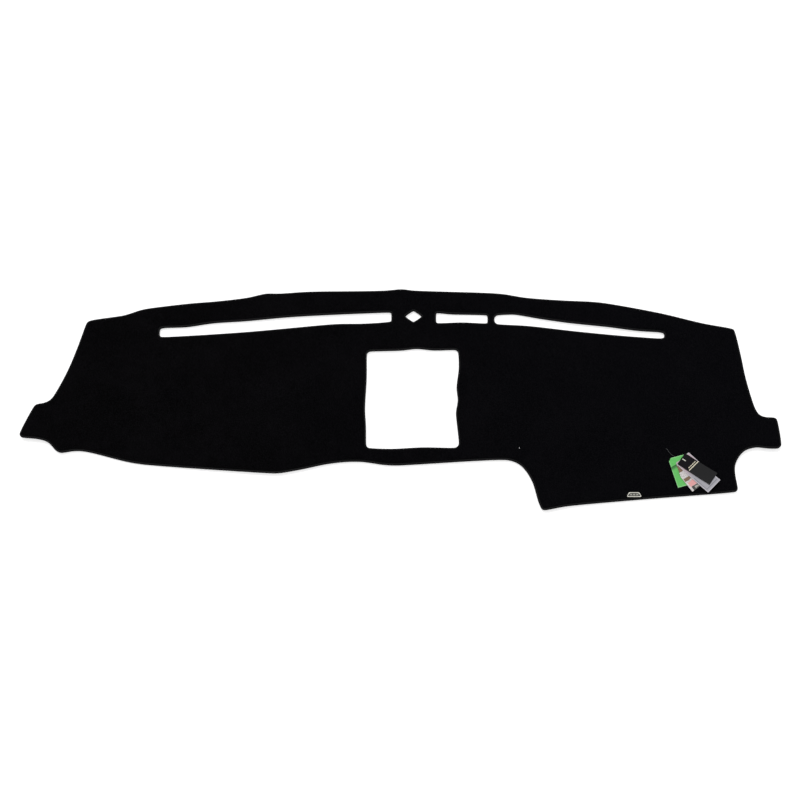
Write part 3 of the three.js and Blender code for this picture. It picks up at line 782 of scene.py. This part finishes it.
# %% Nylon pin
FILAMENT_RADIUS = 0.38 * MM
BAR_HALF_LENGTH = 4.5 * MM
BAR_RADIUS = 0.5 * MM
BAR_ANGLE = math.radians(40)
BAR_HEIGHT = 0.85 * MM
BAR_BEVEL = 0.4 * MM
HEAD_SIZE = Vector((8 * MM, 1.9 * MM, 0.8 * MM))
HEAD_BEVEL = 0.25 * MM
HEAD_GAP = 0.3 * MM
HEAD_ANGLE = math.radians(-33)
REACH = Vector((35 * MM, 26 * MM))
BAR_PLACE = PIN + Vector((-REACH.x, REACH.y))


def nylon_finish(name, dark, light):
    nylon = Finish(name, Roughness=0.3)
    cloud = nylon.noise(nylon.place(), 700)
    return nylon.set(Base_Color=nylon.mix(cloud, dark, light)).material


def filament_point(share, height, sag=0.0):
    x = BAR_PLACE.x + share * REACH.x - sag * REACH.y
    y = BAR_PLACE.y - share * REACH.y - sag * REACH.x
    return Vector((x, y, height + sheet_lift(x, y)))


def block(bm, size, centre, angle, bevel, material_index=0):
    made = bmesh.ops.create_cube(bm, size=1)["verts"]
    bmesh.ops.scale(bm, verts=made, vec=size)
    edges = list({edge for vert in made for edge in vert.link_edges})
    bmesh.ops.bevel(
        bm, geom=edges, offset=bevel, segments=3, profile=0.5, affect="EDGES", material=-1,
    )
    # The bevel gives new points. Only this block's still lie near the origin.
    verts = [vert for vert in bm.verts if vert.co.length < size.length]
    bmesh.ops.rotate(bm, verts=verts, cent=(0, 0, 0), matrix=Matrix.Rotation(angle, 3, "Z"))
    bmesh.ops.translate(bm, verts=verts, vec=centre)
    for face in {face for vert in verts for face in vert.link_faces}:
        face.material_index = material_index


def make_pin():
    top = card_lift("black_tag", *PIN) + SHEET_TOP + 4 * CARD_THICKNESS
    route = [
        filament_point(0, BAR_HEIGHT),
        filament_point(0, SHEET_TOP - MM),
        filament_point(0.06, SHEET_TOP + 2.2 * MM, 0.02),
        filament_point(0.2, SHEET_TOP + 2.2 * MM, 0.07),
        filament_point(0.35, SHEET_TOP + 0.7 * MM, 0.1),
        filament_point(0.53, SHEET_TOP + 0.5 * MM, 0.1),
        filament_point(0.78, SHEET_TOP + 0.5 * MM, 0.06),
        filament_point(0.95, SHEET_TOP + 0.6 * MM, 0.02),
        filament_point(1, SHEET_TOP + 1.6 * MM),
        Vector((PIN.x, PIN.y, top + 0.5 * MM)),
    ]
    curve = bpy.data.curves.new("filament_route", "CURVE")
    curve.dimensions = "3D"
    curve.bevel_depth = FILAMENT_RADIUS
    curve.bevel_resolution = 3
    curve.use_fill_caps = True
    spline = curve.splines.new("BEZIER")
    spline.bezier_points.add(len(route) - 1)
    for point, place in zip(spline.bezier_points, route):
        point.co = place
        point.handle_left_type = "AUTO"
        point.handle_right_type = "AUTO"
    drawn = bpy.data.objects.new("filament_route", curve)
    bpy.context.scene.collection.objects.link(drawn)
    bpy.context.view_layer.update()
    bm = bmesh.new()
    bm.from_mesh(drawn.to_mesh())
    drawn.to_mesh_clear()
    bpy.data.objects.remove(drawn)
    bar_centre = (*BAR_PLACE, BAR_HEIGHT + sheet_lift(*BAR_PLACE))
    bar_size = Vector((2 * BAR_HALF_LENGTH, 2 * BAR_RADIUS, 2 * BAR_RADIUS))
    block(bm, bar_size, bar_centre, BAR_ANGLE, BAR_BEVEL)
    head_centre = (*PIN, top + HEAD_GAP + HEAD_SIZE.z / 2)
    block(bm, HEAD_SIZE, head_centre, HEAD_ANGLE, HEAD_BEVEL, material_index=1)
    bmesh.ops.recalc_face_normals(bm, faces=bm.faces)
    dark = nylon_finish("nylon_filament", (0.03, 0.03, 0.032), (0.06, 0.06, 0.064))
    pale = nylon_finish("nylon_head", (0.55, 0.54, 0.47), (0.70, 0.69, 0.61))
    piece = finished_piece("nylon_pin", bm, dark, pale)
    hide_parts("tag_pin")
    return piece


pin = make_pin()

# %% [markdown]
# The mat is a sheet of soft goods laid on the floor.

# %% [markdown]
# A plain studio: a white floor that takes a soft shadow, an even white world and one broad soft
# sun from behind the mat. Together they light a white surface to just about white, so colours
# look as they are written. Seen directly or in a reflection, the floor and the world are
# lighter than the light that they give.

# %% Floor and light
WORLD_STRENGTH = 0.62
SUN_STRENGTH = 1.35
SUN_TURN = (math.radians(-34), math.radians(-14), 0)
SUN_SPREAD = math.radians(25)
FLOOR_GLOW = 0.55
FLOOR_HALF_WIDTH = 30


def floor_material():
    floor = Finish("floor", Roughness=1.0, Specular_IOR_Level=0.0, Base_Color=(0.8, 0.8, 0.8))
    lit = Wire(floor, floor.shader.outputs[0])
    glow = {"Color": (1.0, 1.0, 1.0), "Strength": FLOOR_GLOW}
    white = floor.node("ShaderNodeEmission", None, glow)
    lifted = floor.node("ShaderNodeAddShader", None, {0: lit, 1: white})
    both = floor.node("ShaderNodeMixShader", None, {0: floor.seen_directly(), 1: lit, 2: lifted})
    floor.feed(floor.tree.nodes["Material Output"].inputs["Surface"], both)
    return floor.material


bm = bmesh.new()
bmesh.ops.create_grid(bm, x_segments=1, y_segments=1, size=FLOOR_HALF_WIDTH)
floor_mesh = bpy.data.meshes.new("floor")
bm.to_mesh(floor_mesh)
bm.free()
floor_mesh.materials.append(floor_material())
floor = bpy.data.objects.new("floor", floor_mesh)
bpy.context.scene.collection.objects.link(floor)

world = bpy.data.worlds.new("studio")
world.use_nodes = True
bpy.context.scene.world = world
studio = Shading(world.node_tree)
background = world.node_tree.nodes["Background"]
studio.feed(background.inputs["Color"], (1.0, 1.0, 1.0))
lift_to_white = studio.seen_directly() * (1 - WORLD_STRENGTH)
studio.feed(background.inputs["Strength"], lift_to_white + WORLD_STRENGTH)

sun_data = bpy.data.lights.new("sun", "SUN")
sun_data.energy = SUN_STRENGTH
sun_data.angle = SUN_SPREAD
sun = bpy.data.objects.new("sun", sun_data)
sun.rotation_euler = SUN_TURN
bpy.context.scene.collection.objects.link(sun)
print("stage set")
